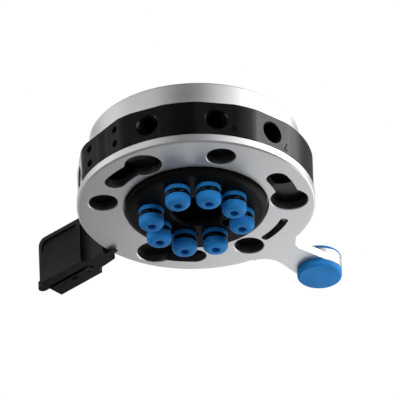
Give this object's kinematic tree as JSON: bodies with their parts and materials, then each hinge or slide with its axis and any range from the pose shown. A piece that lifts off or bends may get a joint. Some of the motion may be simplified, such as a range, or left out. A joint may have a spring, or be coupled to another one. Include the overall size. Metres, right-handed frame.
{
  "type": "robotic tool changer",
  "caption": "Hand-operated robot side of a tool changer: flange plate, round body with side air ports, keyhole lock ring with grip, air nozzles and a side electrical module.",
  "frame": {"origin": "centre of the robot mounting face of the flange plate, on the changer's axis", "axes": "+Z along the axis towards the robot, so the tool side faces -Z; +X towards the bare module flat; the electrical module stands at -80 degrees from +X"},
  "size_m": [0.1322, 0.1378, 0.0486],
  "materials": {
    "satin_aluminium": "fine turned, satin",
    "turned_aluminium": "fine turned, satin, clear anodised",
    "black_anodised": "black anodised, satin",
    "black_plastic": "fine grained",
    "blue_plastic": "smooth, low sheen",
    "seal_rubber": "matt",
    "steel": "bright",
    "black_steel": "blackened",
    "bearing_plastic": "smooth"
  },
  "bodies": {
    "changer_body": {"flange_plate": "satin_aluminium", "robot_dowel": "steel", "body_ring": "black_anodised", "body_screws": "steel", "slide_bushing": "bearing_plastic", "stop_pin": "steel", "centre_plate": "black_anodised", "centre_plate_screws": "steel", "passage_seals": "seal_rubber", "air_nozzle_1": "blue_plastic", "air_nozzle_2": "blue_plastic", "air_nozzle_3": "blue_plastic", "air_nozzle_4": "blue_plastic", "air_nozzle_5": "blue_plastic", "air_nozzle_6": "blue_plastic", "air_nozzle_7": "blue_plastic", "air_nozzle_8": "blue_plastic", "nozzle_o_rings": "seal_rubber", "module_housing": "black_plastic", "module_screws": "steel", "module_cover": "black_plastic", "module_cover_screw": "black_steel"},
    "lock_ring_body": {"lock_ring": "turned_aluminium", "grip_cap_lower": "blue_plastic", "grip_cap_upper": "blue_plastic", "grip_screw": "steel"}
  },
  "joints": [
    {"name": "lock_ring_turn", "type": "hinge", "parent": "changer_body", "child": "lock_ring_body", "pos_m": [0, 0, -0.03125], "axis": [0, 0, 1], "range_deg": [-23.2, 0]}
  ]
}
